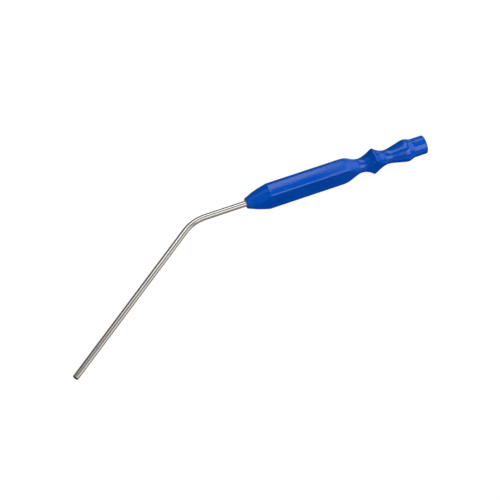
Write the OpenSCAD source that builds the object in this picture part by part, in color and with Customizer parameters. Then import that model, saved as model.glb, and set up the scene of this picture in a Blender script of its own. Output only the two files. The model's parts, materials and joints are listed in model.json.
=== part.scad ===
// Dental suction tip: a bent steel cannula bonded into a moulded handle that ends in a hose spigot.
// The handle is a turned outline cut by two parallel flats, and the whole part lies on a table.
// Local frame: +X runs along the handle from the nose to the spigot, and the cannula bends to -Y.

/* [Cannula] */
// Outside diameter of the steel tube
cannula_d = 3.0; // [2:0.1:3.6]
// Wall of the steel tube
cannula_wall = 0.3; // [0.2:0.05:0.5]
// Distance from the nose face to the corner where the two straights would meet
bend_ahead = 28; // [20:1:50]
// Angle that the tube turns through
bend_angle = 36; // [20:1:60]
// Radius of the bend, on the tube's centre line
bend_radius = 20; // [12:1:28]
// Distance from the bend's corner to the tip
reach = 100; // [60:1:140]
// Chamfer where the cut end is deburred
deburr = 0.15; // [0.05:0.05:0.3]

/* [Grip] */
// Diameter of the nose face
nose_d = 5.2; // [4.6:0.1:6]
// Length of the nose cone
nose_len = 11.7; // [8:0.1:18]
// Rounding of the nose face's edge
nose_edge = 0.4; // [0.1:0.1:0.6]
// Diameter of the grip
grip_d = 14.5; // [12:0.1:18]
// Length of the grip between the two cones
grip_len = 41.3; // [30:0.1:60]
// Distance across the two flats
across_flats = 8.1; // [7.6:0.1:10]
// Length from the end of the grip to the front neck
tail_len = 8.0; // [6.5:0.1:12]
// Hollow radius where the tail cone runs into the front neck
tail_radius = 8; // [4:0.5:12]

/* [Finger collar] */
// Diameter of the necks on both sides of the collar
neck_d = 7.4; // [6.6:0.1:7.5]
// Diameter of the collar's ridge
collar_d = 14.5; // [10:0.1:16]
// Distance from each neck to the collar's ridge
collar_half = 7.2; // [5:0.1:10]
// Hollow radius of the collar's two faces
collar_radius = 9; // [5:0.5:14]
// Rounding of the collar's ridge
ridge_edge = 0.8; // [0.1:0.1:1.2]

/* [Hose spigot] */
// Length from the rear neck to the crest of the bulb
flare_len = 10.6; // [8:0.1:16]
// Hollow radius where the flare leaves the rear neck
flare_radius = 11; // [4:0.5:12]
// Diameter of the bulb that stops the hose
bulb_d = 11.4; // [10:0.1:14]
// Crest radius on the bulb's front side
bulb_front = 7; // [4:0.5:16]
// Crest radius on the bulb's rear side
bulb_rear = 4; // [2:0.5:6]
// Length from the bulb's crest to the start of the spigot
shoulder_len = 3.5; // [2.5:0.1:6]
// Fillet between the bulb's shoulder and the spigot
shoulder_fillet = 1.5; // [0.5:0.1:2]
// Diameter of the spigot that the hose is pushed over
spigot_d = 9.5; // [8:0.1:9.6]
// Length of the spigot behind the shoulder
spigot_len = 6.8; // [5:0.1:12]
// Rounding of the spigot's end
rim_edge = 0.4; // [0.1:0.1:0.8]

/* [Lumen and socket] */
// Depth of the cannula's socket in the nose
socket_depth = 26; // [15:1:34]
// Gap all round the cannula in its socket, filled by the bond
bond_gap = 0.15; // [0.1:0.05:0.25]
// Length of socket left dry in front of the stop ring
bond_short = 2; // [1:0.5:4]
// Extra radius of the well that holds the bond at the nose face
well_flare = 0.3; // [0.1:0.05:0.5]
// Depth of that well
well_depth = 0.5; // [0.3:0.1:1]
// Length of the ring that stops the cannula
stop_len = 2; // [1:0.5:4]
// Lumen diameter behind the stop ring
lumen_front_d = 3.6; // [2.8:0.1:4]
// Lumen diameter where it meets the mouth
lumen_rear_d = 4.4; // [4.1:0.1:4.8]
// Diameter of the mouth in the spigot
mouth_d = 5.6; // [5:0.1:6]
// Depth of the mouth
mouth_depth = 9; // [5:0.5:12]
// Length of the cone between the lumen and the mouth
mouth_step = 1.2; // [0.5:0.1:3]
// Chamfer of the mouth's edge
mouth_edge = 0.3; // [0.1:0.1:0.5]

/* [Hidden] */
$fn = 96;
arc_steps = 12;
over = 1;

cannula_r = cannula_d / 2;
bore_r = cannula_r - cannula_wall;
nose_r = nose_d / 2;
grip_r = grip_d / 2;
flat_r = across_flats / 2;
neck_r = neck_d / 2;
spigot_r = spigot_d / 2;
socket_r = cannula_r + bond_gap;

// Stations along the handle, from the nose face
grip_end = nose_len + grip_len;
front_neck = [grip_end + tail_len, neck_r];
ridge = [front_neck.x + collar_half, collar_d / 2];
rear_neck = [ridge.x + collar_half, neck_r];
crest = [rear_neck.x + flare_len, bulb_d / 2];
spigot_start = [crest.x + shoulder_len, spigot_r];
handle_len = spigot_start.x + spigot_len;

// The tube's straights stop short of the bend's corner by the length of the tangent
bend_tangent = bend_radius * tan(bend_angle / 2);
upper_end = bend_ahead - bend_tangent;
lower_len = reach - bend_tangent;

// Lying pose: the handle is level on its widest round and rolled until the tip touches the table
lying_r = max(grip_d, collar_d, bulb_d) / 2;
side_reach = reach * sin(bend_angle);
roll = asin((lying_r - cannula_r) / side_reach);

// The origin is at the middle of the whole part's outline, on the table
x_low = -bend_ahead - reach * cos(bend_angle) - cannula_r * sin(bend_angle);
tip_tilt = sin(bend_angle) * cos(roll);
y_low = -side_reach * cos(roll) - cannula_r * sqrt(1 - tip_tilt * tip_tilt);
nose_at = [-(x_low + handle_len) / 2, -(y_low + bulb_d / 2) / 2, lying_r];

// Slope of the straight that joins a hollow arc to a crest arc whose radii add up to s
function rise_angle(dx, dr, s) = asin(s / norm([dx, s - dr])) - atan2(s - dr, dx);

// Share of the two radii that fits between a valley and a crest
function radii_share(dx, dr, s) = min(1, 0.98 * (dx * dx + dr * dr) / (2 * dr * s));

// Outline from the bottom of a valley up to the top of a crest, each [station, radius]
function rise(valley, hollow, top, round) =
    let (dx = abs(top.x - valley.x), dr = top.y - valley.y, way = sign(top.x - valley.x))
    let (share = radii_share(dx, dr, hollow + round), h = hollow * share, c = round * share)
    let (a = rise_angle(dx, dr, h + c))
    concat([for (i = [0:arc_steps]) valley + h * [way * sin(a * i / arc_steps), 1 - cos(a * i / arc_steps)]],
           [for (i = [arc_steps:-1:0]) top + c * [-way * sin(a * i / arc_steps), cos(a * i / arc_steps) - 1]]);

function reversed(points) = [for (i = [len(points) - 1:-1:0]) points[i]];

// Rounded corner between the nose face and the nose cone
cone_angle = atan((grip_r - nose_r) / nose_len);
edge_centre = [nose_edge, nose_r + nose_edge * tan(cone_angle) - nose_edge / cos(cone_angle)];
nose_corner = [for (i = [0:arc_steps])
    let (a = 180 - (90 - cone_angle) * i / arc_steps) edge_centre + nose_edge * [cos(a), sin(a)]];

rim_corner = [for (i = [0:arc_steps])
    let (a = 90 - 90 * i / arc_steps)
        [handle_len - rim_edge, spigot_r - rim_edge] + rim_edge * [cos(a), sin(a)]];

handle_outline = concat(
    [[0, 0]],
    nose_corner,
    [[nose_len, grip_r]],
    reversed(rise(front_neck, tail_radius, [grip_end, grip_r], 0)),
    rise(front_neck, collar_radius, ridge, ridge_edge),
    reversed(rise(rear_neck, collar_radius, ridge, ridge_edge)),
    rise(rear_neck, flare_radius, crest, bulb_front),
    reversed(rise(spigot_start, shoulder_fillet, crest, bulb_rear)),
    rim_corner,
    [[handle_len, 0]]);

// Solid of revolution about the X axis of an outline of [station, radius] points
module turned(outline) {
    rotate([0, 90, 0]) rotate_extrude() polygon([for (p = outline) [p.y, p.x]]);
}

// Sets a piece that is drawn in the local frame in its place on the table
module lying() {
    translate(nose_at) rotate([roll, 0, 0]) children();
}

// Straight length of tube along +Z, with its far end deburred if chamfer is given
module straight_tube(length, chamfer = 0) {
    difference() {
        union() {
            cylinder(r = cannula_r, h = length - chamfer);
            if (chamfer > 0) translate([0, 0, length - chamfer])
                cylinder(r1 = cannula_r, r2 = cannula_r - chamfer, h = chamfer);
        }
        translate([0, 0, -over]) cylinder(r = bore_r, h = length + 2 * over);
    }
}

// The tube's bend, from the +X direction towards -Y, about the Z axis
module bent_tube() {
    rotate([0, 0, 90]) rotate_extrude(angle = bend_angle) translate([bend_radius, 0]) difference() {
        circle(r = cannula_r);
        circle(r = bore_r);
    }
}

module steel_cannula() {
    color("silver") lying() {
        translate([-upper_end, 0, 0]) rotate([0, 90, 0]) straight_tube(upper_end + socket_depth);
        translate([-upper_end, -bend_radius, 0]) {
            bent_tube();
            rotate([0, 0, bend_angle]) translate([0, bend_radius, 0]) rotate([0, -90, 0])
                straight_tube(lower_len, deburr);
        }
    }
}

// Adhesive between the cannula and its socket, with a flush ring in the well at the nose face
module bond_sleeve() {
    color("wheat") lying() turned([
        [0, cannula_r], [0, socket_r + well_flare], [well_depth, socket_r],
        [socket_depth - bond_short, socket_r], [socket_depth - bond_short, cannula_r]]);
}

// Passage through the handle: well, socket, stop ring, lumen and mouth
module passage() {
    stop_end = socket_depth + stop_len;
    mouth_start = handle_len - mouth_depth;
    turned([
        [-over, 0], [-over, socket_r + well_flare], [0, socket_r + well_flare],
        [well_depth, socket_r], [socket_depth, socket_r], [socket_depth, bore_r],
        [stop_end, bore_r], [stop_end, lumen_front_d / 2], [mouth_start, lumen_rear_d / 2],
        [mouth_start + mouth_step, mouth_d / 2], [handle_len - mouth_edge, mouth_d / 2],
        [handle_len, mouth_d / 2 + mouth_edge], [handle_len + over, mouth_d / 2 + mouth_edge],
        [handle_len + over, 0]]);
}

// The two flats run from the nose to the rear neck, and leave the bulb and spigot round
module flats() {
    for (side = [0, 1]) mirror([0, side, 0])
        translate([-over, flat_r, -grip_d]) cube([rear_neck.x + over, grip_d, 2 * grip_d]);
}

module handle() {
    color("royalblue") lying() difference() {
        turned(handle_outline);
        flats();
        passage();
    }
}

steel_cannula();
bond_sleeve();
handle();
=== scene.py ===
"""Looks of the dental suction tip: its moulded handle, its bent steel cannula and the bond between them."""

import json
import math

import bpy
import numpy as np
from mathutils import Matrix, Vector


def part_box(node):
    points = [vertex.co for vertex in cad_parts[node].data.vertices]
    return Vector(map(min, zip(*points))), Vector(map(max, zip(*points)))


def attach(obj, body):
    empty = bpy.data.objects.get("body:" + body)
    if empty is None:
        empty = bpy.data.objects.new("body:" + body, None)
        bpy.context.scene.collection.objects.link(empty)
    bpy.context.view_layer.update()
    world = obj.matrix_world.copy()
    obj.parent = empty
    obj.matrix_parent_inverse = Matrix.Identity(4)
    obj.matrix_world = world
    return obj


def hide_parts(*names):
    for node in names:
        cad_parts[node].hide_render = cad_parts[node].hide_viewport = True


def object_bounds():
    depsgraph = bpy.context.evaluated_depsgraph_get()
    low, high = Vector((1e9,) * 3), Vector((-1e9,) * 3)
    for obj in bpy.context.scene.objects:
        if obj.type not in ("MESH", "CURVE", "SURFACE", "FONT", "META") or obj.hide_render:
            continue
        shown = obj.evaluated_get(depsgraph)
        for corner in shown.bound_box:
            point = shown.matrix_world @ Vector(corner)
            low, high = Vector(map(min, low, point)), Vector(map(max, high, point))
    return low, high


MM = 0.001

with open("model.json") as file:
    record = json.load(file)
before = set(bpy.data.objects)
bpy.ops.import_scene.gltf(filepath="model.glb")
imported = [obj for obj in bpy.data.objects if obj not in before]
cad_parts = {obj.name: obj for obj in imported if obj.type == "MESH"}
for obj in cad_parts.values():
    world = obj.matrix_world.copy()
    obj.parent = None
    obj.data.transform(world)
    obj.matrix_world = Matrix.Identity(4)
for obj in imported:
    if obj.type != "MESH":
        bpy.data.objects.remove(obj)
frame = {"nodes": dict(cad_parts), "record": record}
cad_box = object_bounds()

# ---------------------------------------------------------------- measures taken from the frame

mounts = {m["name"]: m for m in frame["record"]["mounts"]}
AXIS = Vector(mounts["hose_spigot"]["axis"]).normalized()
AXIS_POINT = Vector(mounts["hose_spigot"]["pos_m"])
TIP = Vector(mounts["cannula_shaft"]["pos_m"])
TIP_AXIS = Vector(mounts["cannula_shaft"]["axis"]).normalized()
TUBE_R = mounts["cannula_shaft"]["dims"]["r_mm"] * MM
LOWER_STRAIGHT = mounts["cannula_shaft"]["dims"]["length_mm"] * MM

# The cannula bends from the handle's axis towards BEND, and the handle's flats face BEND and its opposite.
BEND = (TIP_AXIS - AXIS * TIP_AXIS.dot(AXIS)).normalized()
SIDE = AXIS.cross(BEND)
NOSE = AXIS_POINT + AXIS * (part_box("handle")[0] - AXIS_POINT).dot(AXIS)

# ---------------------------------------------------------------- camera, at the photograph's angle

CAMERA_AZIMUTH = -21.42
CAMERA_ELEVATION = 55.74
CAMERA_ROLL = -0.74
CAMERA_DISTANCE = 905.5 * MM
AIM_RIGHT = 2.0 * MM    # the view's centre lies this far right of the nose
AIM_UP = -22.75 * MM    # and this far above it
LENS_MM = 133.06
SENSOR_MM = 36.0
SIGHT = 50.0            # metres, past the studio's far edge


def add_camera():
    """Azimuth turns the camera from looking along +Y and roll turns it about its view, both in degrees."""
    a, e = math.radians(CAMERA_AZIMUTH), math.radians(CAMERA_ELEVATION)
    back = Vector((math.sin(a) * math.cos(e), -math.cos(a) * math.cos(e), math.sin(e)))
    turn = Matrix.Rotation(math.radians(CAMERA_ROLL), 3, back) @ back.to_track_quat("Z", "Y").to_matrix()
    right, up = turn.col[0], turn.col[1]
    camera = bpy.data.objects.new("camera", bpy.data.cameras.new("camera"))
    camera.data.lens = LENS_MM
    camera.data.sensor_width = SENSOR_MM
    camera.data.clip_end = SIGHT
    camera.matrix_world = turn.to_4x4()
    camera.location = NOSE + right * AIM_RIGHT + up * AIM_UP + back * CAMERA_DISTANCE
    bpy.context.scene.collection.objects.link(camera)
    bpy.context.scene.camera = camera


# ---------------------------------------------------------------- mesh helpers


def lofted(name, rings, close_rows):
    """Mesh object through rows of points, each closed into a ring. close_rows joins the last to the first."""
    rows, columns = rings.shape[:2]
    last = rows if close_rows else rows - 1
    faces = []
    for i in range(last):
        for j in range(columns):
            k, n = (i + 1) % rows, (j + 1) % columns
            faces.append((i * columns + j, i * columns + n, k * columns + n, k * columns + j))
    mesh = bpy.data.meshes.new(name)
    mesh.from_pydata(rings.reshape(-1, 3).tolist(), [], faces)
    mesh.validate()
    mesh.shade_smooth()
    piece = bpy.data.objects.new(name, mesh)
    bpy.context.scene.collection.objects.link(piece)
    return piece


def resampled(points, step):
    """A closed polyline at even steps along its length."""
    loop = np.vstack([points, points[:1]])
    walked = np.concatenate([[0], np.cumsum(np.linalg.norm(np.diff(loop, axis=0), axis=1))])
    at = np.linspace(0, walked[-1], int(walked[-1] / step), endpoint=False)
    return np.column_stack([np.interp(at, walked, loop[:, k]) for k in range(2)])


def softened(points, reach):
    """A closed, evenly stepped polyline with its corners rounded by a bell curve of that many steps."""
    tail = 4 * reach
    span = np.arange(-tail, tail + 1)
    weights = np.exp(-0.5 * (span / reach) ** 2)
    weights /= weights.sum()
    return sum(w * np.roll(points, -k, axis=0) for k, w in zip(span, weights))


# ---------------------------------------------------------------- handle

OUTLINE_STEP = 0.05 * MM
CORNER_SOFTNESS = 3            # outline steps
TAIL_SOFTNESS = 28             # outline steps, where the grip runs into the tail cone
TAIL_REACH = 5 * MM            # distance from that corner over which the softness fades
FLAT_FILLET = 0.45 * MM        # width over which a flat blends into the round
FLAT_RUNOUT = 0.5 * MM         # rows this far past the flats' end still blend into them
GRIP_SHARE = 0.65              # part of the handle's length that holds all of the grip
ROW_SPACING = 1.6 * MM         # a row of the mesh comes at least this often,
ROW_TURN = math.radians(5)     # after each such turn of the outline,
ROW_SWEEP = math.radians(2.5)  # and after each such move of a flat's edge round the handle
FLAT_COLUMNS = 9               # columns on half a flat
FILLET_COLUMNS = 8             # columns across its edge
ROUND_COLUMNS = 13             # columns from there to the side
LEAST_EDGE = math.radians(14)  # where the columns crowd on rows that no flat cuts


def station_and_radius(point):
    """How far along the handle from the nose a point lies, and how far from the handle's axis."""
    along = (point - NOSE).dot(AXIS)
    return along, (point - NOSE - AXIS * along).length


def turned_outline(node, way):
    """Stations and radii of a CAD node's outer surface (way 1) or bore (way -1), from nose to spigot."""
    mesh = frame["nodes"][node].data
    found = set()
    for face in mesh.polygons:
        along, radius = station_and_radius(face.center)
        outward = (face.center - NOSE - AXIS * along) / radius
        if way * face.normal.dot(outward) > 0.05:  # not a face square to the axis
            for v in face.vertices:
                found.add(tuple(round(x, 6) for x in station_and_radius(mesh.vertices[v].co)))
    # At a step in the outline, its two radii come in the order that the walk meets them.
    walk = []
    for point in sorted(found):
        at_a_step = len(walk) > 1 and walk[-1][0] == point[0]
        if at_a_step and abs(point[1] - walk[-2][1]) < abs(walk[-1][1] - walk[-2][1]):
            walk.insert(-1, point)
        else:
            walk.append(point)
    return np.array(walk)


def flats_of(node):
    """How far a node's flats lie from the handle's axis, and the last station that they reach."""
    mesh = frame["nodes"][node].data
    facing = [f for f in mesh.polygons if f.normal.dot(BEND) > 0.9999]
    distance = (max(facing, key=lambda f: f.area).center - NOSE).dot(BEND)
    corners = [mesh.vertices[v].co - NOSE for f in facing for v in f.vertices]
    return distance, max(c.dot(AXIS) for c in corners if abs(c.dot(BEND) - distance) < 1e-6)


def grip_end(outline):
    """Station of the corner between the grip and the tail cone: the last point on the grip's full radius."""
    front = outline[outline[:, 0] < GRIP_SHARE * outline[:, 0].max()]
    return front[front[:, 1] > front[:, 1].max() - 0.02 * MM, 0].max()


def edge_angle(radius, flat):
    """Angle from a flat's middle to its edge, on a round of that radius."""
    return math.acos(min(1.0, flat / radius))


def column_angles(edge, margin):
    """Angles round one row from the BEND direction, crowded where the flats meet the round."""
    quarter = np.concatenate([
        np.linspace(0, edge - margin, FLAT_COLUMNS, endpoint=False),
        np.linspace(edge - margin, edge + margin, FILLET_COLUMNS, endpoint=False),
        np.linspace(edge + margin, math.pi / 2, ROUND_COLUMNS, endpoint=False)])
    half = np.concatenate([quarter, [math.pi / 2], math.pi - quarter[:0:-1]])
    return np.concatenate([half, math.pi + half])


def blended_least(a, b, width):
    """The smaller of two lengths, rounded off where they are within width of each other."""
    near = np.maximum(width - np.abs(a - b), 0) / width
    return np.minimum(a, b) - near * near * width / 4


def chosen_rows(outline, cut_by_flats, flat):
    """Rows of the outline worth a ring: closer where it curves and where the flats' edges run across it."""
    ahead = np.roll(outline, -1, axis=0) - outline
    step = np.linalg.norm(ahead, axis=1)
    heading = np.unwrap(np.arctan2(ahead[:, 1], ahead[:, 0]))
    turning = np.abs(np.gradient(heading))
    edges = np.array([edge_angle(r, flat) if cut else 0 for (_, r), cut in zip(outline, cut_by_flats)])
    sweep = np.abs(np.gradient(edges))
    worth = step / ROW_SPACING + turning / ROW_TURN + sweep / ROW_SWEEP
    rank = np.floor(np.cumsum(worth))
    return np.flatnonzero(np.diff(rank, prepend=-1) > 0)


def build_handle():
    """The moulding as one closed skin: the CAD's outlines, softened, with the two flats cut in."""
    flat, flat_end = flats_of("handle")
    outer, inner = turned_outline("handle", 1), turned_outline("handle", -1)
    sharp = resampled(np.vstack([outer, inner[::-1]]), OUTLINE_STEP)
    near_tail = np.exp(-((sharp[:, :1] - grip_end(outer)) / TAIL_REACH) ** 2)
    near_tail[np.argmax(sharp[:, 0]):] = 0
    outline = softened(sharp, CORNER_SOFTNESS) * (1 - near_tail) + softened(sharp, TAIL_SOFTNESS) * near_tail
    past_rim = np.argmax(outline[:, 0])
    order = np.arange(len(outline))
    cut_by_flats = (order < past_rim) & (outline[:, 0] < flat_end + FLAT_RUNOUT)
    rings = []
    for i in chosen_rows(outline, cut_by_flats, flat):
        along, radius = outline[i]
        edge = max(edge_angle(radius, flat) if cut_by_flats[i] else 0, LEAST_EDGE)
        margin = min(0.6 * FLAT_FILLET / radius, 0.5 * edge)  # just over half the fillet, seen from the axis
        angles = column_angles(edge, margin)
        radii = np.full(len(angles), radius)
        if cut_by_flats[i]:
            to_flat = flat / np.maximum(np.abs(np.cos(angles)), 1e-3)
            radii = blended_least(radii, to_flat, FLAT_FILLET)
        centre = np.array(NOSE + AXIS * along)
        rings.append(centre + np.outer(radii * np.cos(angles), BEND) + np.outer(radii * np.sin(angles), SIDE))
    return lofted("handle_moulding", np.array(rings), close_rows=True)


# ---------------------------------------------------------------- cannula

TUBE_COLUMNS = 56
TUBE_SPACING = 4 * MM    # rows on the straight lengths
BEND_ROWS = 28
DEBURR = 0.15 * MM       # rounding of the tip's two edges, and of the outer edge at the rear
DEBURR_ROWS = 5


def build_cannula():
    """The tube as one closed skin: outside from the rear end to the tip, then back through its bore."""
    turn = math.acos(-TIP_AXIS.dot(AXIS))
    reach = (TIP - NOSE).dot(BEND) / math.sin(turn)
    corner = TIP - TIP_AXIS * reach
    tangent = reach - LOWER_STRAIGHT - DEBURR
    bend_radius = tangent / math.tan(turn / 2)
    rear = (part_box("steel_cannula")[1] - corner).dot(AXIS)
    bend_start = rear - tangent
    bend_length = bend_radius * turn
    length = bend_start + bend_length + reach - tangent
    centre_of_bend = corner + AXIS * tangent + BEND * bend_radius

    def place(s):
        """Point and in-plane normal of the tube's centre line, s along it from the rear end."""
        if s < bend_start:
            return corner + AXIS * (rear - s), BEND
        a = min((s - bend_start) / bend_radius, turn)
        normal = BEND * math.cos(a) + AXIS * math.sin(a)
        point = centre_of_bend - normal * bend_radius
        return point + TIP_AXIS * max(0.0, s - bend_start - bend_length), normal

    bore = min(station_and_radius(v.co)[1] for v in frame["nodes"]["steel_cannula"].data.vertices
               if (v.co - NOSE).dot(AXIS) > 0)
    straight_rows = np.arange(1 * MM, bend_start, TUBE_SPACING)
    bend_rows = np.linspace(bend_start, bend_start + bend_length, BEND_ROWS)
    lower_rows = np.arange(bend_start + bend_length + 3 * MM, length - 1 * MM, TUBE_SPACING)
    along = np.concatenate([straight_rows, bend_rows, lower_rows])
    corner_steps = np.radians(np.linspace(0, 90, DEBURR_ROWS))
    rounded = [(DEBURR * (1 - math.sin(a)), DEBURR * (1 - math.cos(a))) for a in corner_steps]
    skin = [(0.0, TUBE_R - DEBURR), (0.5 * DEBURR, TUBE_R - 0.2 * DEBURR)]
    skin += [(s, TUBE_R) for s in along]
    skin += [(length - back, TUBE_R - down) for back, down in rounded]
    skin += [(length - up, bore + out) for out, up in rounded[::-1]]
    skin += [(s, bore) for s in along[::-1]]
    skin += [(0.0, bore)]

    # The rows run against AXIS, so the angles run backwards too, and the faces look out of the metal.
    angles = -np.linspace(0, 2 * math.pi, TUBE_COLUMNS, endpoint=False)
    rings = []
    for s, radius in skin:
        point, normal = place(s)
        spokes = np.outer(np.cos(angles), normal) + np.outer(np.sin(angles), SIDE)
        rings.append(np.array(point) + radius * spokes)
    piece = lofted("cannula_tube", np.array(rings), close_rows=True)
    # Each point's place on the same tube made straight, so that the steel's lines follow the bend.
    unrolled = piece.data.attributes.new("unrolled", "FLOAT_VECTOR", "POINT")
    rows = [[(math.cos(a) * radius, math.sin(a) * radius, s) for a in angles] for s, radius in skin]
    unrolled.data.foreach_set("vector", np.array(rows, np.float32).ravel())
    return piece


# ---------------------------------------------------------------- materials

# Stations from the nose between which the plastic turns dull with handling and then glossy again.
DULLING = (30 * MM, 54 * MM)
CLEARING = (57 * MM, 62 * MM)
NOSE_WEAR = 4 * MM    # reach of the dull rim at the nose


class Surface:
    """A material built node by node round its Principled shader."""

    def __init__(self, name, **values):
        self.material = bpy.data.materials.new(name)
        self.material.use_nodes = True
        self.tree = self.material.node_tree
        self.shader = self.tree.nodes["Principled BSDF"]
        for socket, value in values.items():
            self.shader.inputs[socket.replace("_", " ")].default_value = value

    def node(self, kind, **inputs):
        """A node of that kind. Inputs are values or other nodes' outputs, named by their sockets."""
        made = self.tree.nodes.new("ShaderNode" + kind)
        for socket, value in inputs.items():
            self.feed(made.inputs[socket.replace("_", " ")], value)
        return made

    def feed(self, socket, value):
        if isinstance(value, bpy.types.NodeSocket):
            self.tree.links.new(value, socket)
        else:
            socket.default_value = value

    def coordinates(self, source, scale):
        """Object coordinates, or a named vector attribute, stretched by a scale along each axis."""
        if source == "object":
            vector = self.node("TexCoord").outputs["Object"]
        else:
            attribute = self.node("Attribute")
            attribute.attribute_name = source
            vector = attribute.outputs["Vector"]
        return self.node("Mapping", Vector=vector, Scale=scale).outputs["Vector"]

    def noise(self, source, scale, detail=3.0, rough=0.5):
        """Noise whose grain is 1 / scale metres long, along each axis."""
        vector = self.coordinates(source, scale)
        return self.node("TexNoise", Vector=vector, Scale=1.0, Detail=detail, Roughness=rough).outputs["Fac"]

    def ranged(self, value, low, high, to_low, to_high, smooth=False):
        """Value moved from one range to another, held at its ends."""
        made = self.node("MapRange", Value=value, From_Min=low, From_Max=high, To_Min=to_low, To_Max=to_high)
        if smooth:
            made.interpolation_type = "SMOOTHSTEP"
        return made.outputs["Result"]

    def math(self, operation, a, b):
        made = self.node("Math")
        made.operation = operation
        self.feed(made.inputs[0], a)
        self.feed(made.inputs[1], b)
        return made.outputs["Value"]

    def mixed(self, factor, a, b):
        """Colour between a and b."""
        made = self.node("Mix")
        made.data_type = "RGBA"
        self.feed(made.inputs["Factor"], factor)
        self.feed([i for i in made.inputs if i.name == "A" and i.type == "RGBA"][0], a)
        self.feed([i for i in made.inputs if i.name == "B" and i.type == "RGBA"][0], b)
        return [o for o in made.outputs if o.type == "RGBA"][0]

    def bump(self, height, depth, beneath=None):
        """Normal with relief that deep, in metres, on top of another normal."""
        made = self.node("Bump", Height=height, Distance=depth, Strength=1.0)
        if beneath:
            self.feed(made.inputs["Normal"], beneath)
        return made.outputs["Normal"]


def blue_plastic():
    """Glossy moulded plastic: colour drift, orange peel, flow lines, hairline scratches, two dull places."""
    s = Surface("blue_plastic", Specular_IOR_Level=0.35)
    drift = s.noise("object", (60, 60, 60), 2)
    grain = s.noise("object", (900, 900, 900), 4)
    shade = s.math("ADD", s.math("MULTIPLY", drift, 0.7), s.math("MULTIPLY", grain, 0.3))
    shade = s.ranged(shade, 0.35, 0.65, 0, 1)
    s.feed(s.shader.inputs["Base Color"], s.mixed(shade, (0, 0.084, 0.5, 1), (0, 0.096, 0.555, 1)))

    along = s.node("SeparateXYZ", Vector=s.coordinates("object", (1, 1, 1))).outputs["X"]
    worn = s.ranged(along, NOSE.x + DULLING[0], NOSE.x + DULLING[1], 0, 1, smooth=True)
    past = s.ranged(along, NOSE.x + CLEARING[0], NOSE.x + CLEARING[1], 1, 0, smooth=True)
    handled = s.math("MULTIPLY", worn, past)
    wiped = s.ranged(along, NOSE.x, NOSE.x + NOSE_WEAR, 1, 0)
    flow = s.noise("object", (30, 1400, 1400), 3)
    cloudy = s.noise("object", (140, 140, 140), 3)
    rough = s.math("ADD", s.ranged(flow, 0.35, 0.65, 0.12, 0.16), s.ranged(cloudy, 0.4, 0.6, 0, 0.03))
    rough = s.math("ADD", rough, s.math("MULTIPLY", handled, 0.18))
    rough = s.math("ADD", rough, s.math("MULTIPLY", wiped, 0.3))
    scratch = s.noise("object", (45, 2600, 2600), 1)
    hairline = s.ranged(scratch, 0.68, 0.72, 0, 1)
    s.feed(s.shader.inputs["Roughness"], s.math("ADD", rough, s.math("MULTIPLY", hairline, 0.12)))

    peel = s.bump(s.noise("object", (700, 700, 700), 2), 0.0007 * MM)
    flowing = s.bump(flow, 0.0007 * MM, peel)
    s.feed(s.shader.inputs["Normal"], s.bump(hairline, -0.001 * MM, flowing))
    return s.material


def polished_steel():
    """Drawn stainless tube: fine lines along its length, even round the bend, and an uneven polish."""
    s = Surface("polished_steel", Metallic=1.0)
    lines = s.noise("unrolled", (4200, 4200, 25), 3, 0.6)
    blotch = s.noise("unrolled", (300, 300, 60), 3)
    shade = s.math("ADD", s.math("MULTIPLY", lines, 0.5), s.math("MULTIPLY", blotch, 0.5))
    shade = s.ranged(shade, 0.38, 0.62, 0, 1)
    s.feed(s.shader.inputs["Base Color"], s.mixed(shade, (0.63, 0.615, 0.595, 1), (0.67, 0.66, 0.645, 1)))
    rough = s.ranged(lines, 0.3, 0.7, 0.12, 0.18)
    s.feed(s.shader.inputs["Roughness"], s.math("ADD", rough, s.ranged(blotch, 0.35, 0.65, -0.02, 0.05)))
    s.feed(s.shader.inputs["Normal"], s.bump(lines, 0.0006 * MM))
    return s.material


def cured_adhesive():
    """Clear amber epoxy with a slightly uneven, glassy skin and tiny bubbles."""
    s = Surface("cured_adhesive", Roughness=0.2)
    cloud = s.noise("object", (1500, 1500, 1500), 3)
    s.feed(s.shader.inputs["Base Color"], s.mixed(cloud, (0.40, 0.34, 0.2, 1), (0.56, 0.5, 0.34, 1)))
    s.feed(s.shader.inputs["Roughness"], s.ranged(cloud, 0.35, 0.65, 0.14, 0.32))
    bubbles = s.noise("object", (5000, 5000, 5000), 1)
    s.feed(s.shader.inputs["Normal"], s.bump(s.ranged(bubbles, 0.6, 0.7, 0, 1), -0.01 * MM))
    return s.material


# ---------------------------------------------------------------- stage and lights

STUDIO = 6.0            # metres from the object to the floor's edge
WORLD_GLOW = 0.16
SURROUND_GLOW = 0.34
SURROUND_DARK = 0.15    # the surround's glow behind the object
FLOOR_BASE = 0.12       # reflectance
FLOOR_GLOW = 0.93       # what it adds to the light that it reflects, to come out white
SHELL_COLUMNS, SHELL_ROWS = 48, 25
NEARLY_UP = 89.9        # degrees, so that a shell's last ring still has a size


def glowing(name, piece, strength, base=0.0, tint=(1, 1, 1, 1)):
    """Makes a piece of the studio glow without lighting the object or showing in it. Gives its surface."""
    s = Surface(name, Roughness=0.9, Specular_IOR_Level=0.0)
    s.shader.inputs["Base Color"].default_value = (base, base, base, 1)
    s.shader.inputs["Emission Color"].default_value = tint
    s.feed(s.shader.inputs["Emission Strength"], strength)
    piece.data.materials.append(s.material)
    piece.visible_glossy = False
    piece.visible_diffuse = False
    return s


def add_floor():
    mesh = bpy.data.meshes.new("floor")
    corners = [(-STUDIO, -STUDIO, 0), (STUDIO, -STUDIO, 0), (STUDIO, STUDIO, 0), (-STUDIO, STUDIO, 0)]
    mesh.from_pydata(corners, [], [(0, 1, 2, 3)])
    floor = bpy.data.objects.new("floor", mesh)
    floor.location.z = cad_box[0].z
    floor.visible_shadow = False
    bpy.context.scene.collection.objects.link(floor)
    glowing("pale_floor", floor, FLOOR_GLOW, FLOOR_BASE)
    return floor


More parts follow.
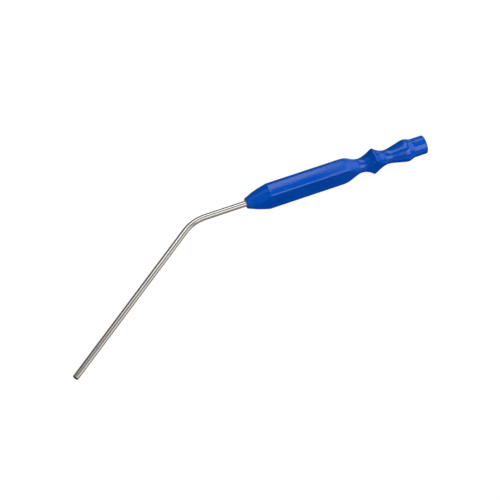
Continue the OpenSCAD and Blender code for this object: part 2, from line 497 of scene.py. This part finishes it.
def shell(name, radius, lowest):
    """Sphere round the studio, from an elevation in degrees up to the zenith."""
    around = np.linspace(0, 2 * math.pi, SHELL_COLUMNS, endpoint=False)
    circle = np.column_stack([np.cos(around), np.sin(around)])
    rings = []
    for up in np.radians(np.linspace(lowest, NEARLY_UP, SHELL_ROWS)):
        height = np.full(SHELL_COLUMNS, math.sin(up))
        rings.append(radius * np.column_stack([circle * math.cos(up), height]))
    return lofted(name, np.array(rings), close_rows=False)


def add_backdrop():
    """White behind the object in a view that looks along the floor."""
    backdrop = shell("backdrop", 0.95 * STUDIO, -2)
    glowing("pale_backdrop", backdrop, 1.0)
    backdrop.visible_shadow = False


def add_surround(metal):
    """Grey room that only the steel mirrors. It is darker far behind the object."""
    surround = shell("surround", 0.9 * STUDIO, -NEARLY_UP)
    s = glowing("grey_surround", surround, 0.0, tint=(1, 0.93, 0.87, 1))
    behind = s.node("SeparateXYZ", Vector=s.coordinates("object", (1, 1, 1))).outputs["Y"]
    glow = s.ranged(behind, 0.3 * STUDIO, 0.8 * STUDIO, SURROUND_GLOW, SURROUND_DARK)
    s.feed(s.shader.inputs["Emission Strength"], glow)
    s.material.cycles.emission_sampling = "NONE"
    surround.visible_glossy = True
    surround.visible_camera = False
    surround.visible_shadow = False
    surround.visible_transmission = False
    surround.light_linking.receiver_collection = metal


class Rig:
    """Soft rectangular lights that light only one collection. Their sizes and offsets are for a distance of
    1 m from the aim and grow with the distance."""

    def __init__(self, receivers, aim, distance):
        self.receivers, self.aim, self.distance = receivers, aim, distance

    def rectangle(self, name, offset, rotation, width, height, radiance, tint=(1, 1, 1)):
        light = bpy.data.objects.new(name, bpy.data.lights.new(name, "AREA"))
        light.data.shape = "RECTANGLE"
        light.data.size = width * self.distance
        light.data.size_y = height * self.distance
        light.data.energy = radiance * math.pi * light.data.size * light.data.size_y
        light.data.color = tint
        light.location = self.aim + offset * self.distance
        light.rotation_euler = rotation
        light.visible_camera = False
        bpy.context.scene.collection.objects.link(light)
        light.light_linking.receiver_collection = self.receivers

    def softbox(self, name, azimuth, elevation, width, height, radiance, tint=(1, 1, 1)):
        """A box that faces the aim. Angles are in degrees, and azimuth goes from +X to +Y."""
        a, e = math.radians(azimuth), math.radians(elevation)
        out = Vector((math.cos(a) * math.cos(e), math.sin(a) * math.cos(e), math.sin(e)))
        self.rectangle(name, out, out.to_track_quat("Z", "Y").to_euler(), width, height, radiance, tint)

    def overhead(self, name, right, ahead, width, length, radiance):
        """A level panel squared to the camera, its middle that far right and ahead for each metre up."""
        yaw = math.radians(CAMERA_AZIMUTH)
        offset = Matrix.Rotation(yaw, 3, "Z") @ Vector((right, ahead, 1))
        self.rectangle(name, offset, (0, 0, yaw), width, length, radiance)


def lit_together(name, *pieces):
    """A collection of pieces for a light to be linked to."""
    collection = bpy.data.collections.new(name)
    for piece in pieces:
        collection.objects.link(piece)
    return collection


def add_lights(moulding, metal):
    """Bright boxes for the moulding and the floor, dimmer ones for the steel, which mirrors them fully."""
    middle = (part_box("handle")[0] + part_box("handle")[1]) / 2
    plastic = Rig(moulding, middle, 1.8)
    plastic.overhead("overhead_panel", -0.038, 0.68, 0.37, 1.68, 2.8)
    plastic.softbox("front_softbox", -73, 28, 0.7, 0.68, 3.0, (0.97, 0.87, 1.01))
    plastic.softbox("front_strip", -66, 47, 0.7, 0.16, 3.0)
    plastic.softbox("right_softbox", 0, 33, 1.35, 0.82, 1.3)
    plastic.softbox("front_left_softbox", -106, 31, 0.2, 0.5, 0.9)
    plastic.softbox("left_softbox", 150, 53, 0.33, 0.24, 0.8)
    plastic.softbox("left_bounce", 180, -4, 1.2, 0.5, 1.1, (0.9, 0.8, 1.1))
    plastic.softbox("front_bounce", -66, -25, 1.0, 0.5, 0.26)
    plastic.softbox("right_bounce", 55, -5, 0.8, 0.45, 0.45)
    steel = Rig(metal, NOSE, 0.9)
    steel.softbox("rear_reflector", 60, 62, 0.52, 0.42, 1.85)
    steel.softbox("front_reflector", -72, 36, 0.56, 0.67, 1.1)
    steel.softbox("right_reflector", -32, 11, 0.56, 0.67, 0.8)
    world = bpy.data.worlds.new("studio")
    world.use_nodes = True
    world.node_tree.nodes["Background"].inputs["Color"].default_value = (1, 1, 1, 1)
    world.node_tree.nodes["Background"].inputs["Strength"].default_value = WORLD_GLOW
    bpy.context.scene.world = world


# ---------------------------------------------------------------- assembly

bpy.context.scene.view_settings.view_transform = "Standard"
add_camera()
studio_floor = add_floor()
add_backdrop()

handle = build_handle()
handle.data.materials.append(blue_plastic())
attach(handle, "root")
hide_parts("handle")

cannula = build_cannula()
cannula.data.materials.append(polished_steel())
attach(cannula, "root")
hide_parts("steel_cannula")

bond = frame["nodes"]["bond_sleeve"]
bond.data.materials.clear()
bond.data.materials.append(cured_adhesive())

metal = lit_together("metal", cannula)
add_surround(metal)
add_lights(lit_together("moulding", handle, bond, studio_floor), metal)
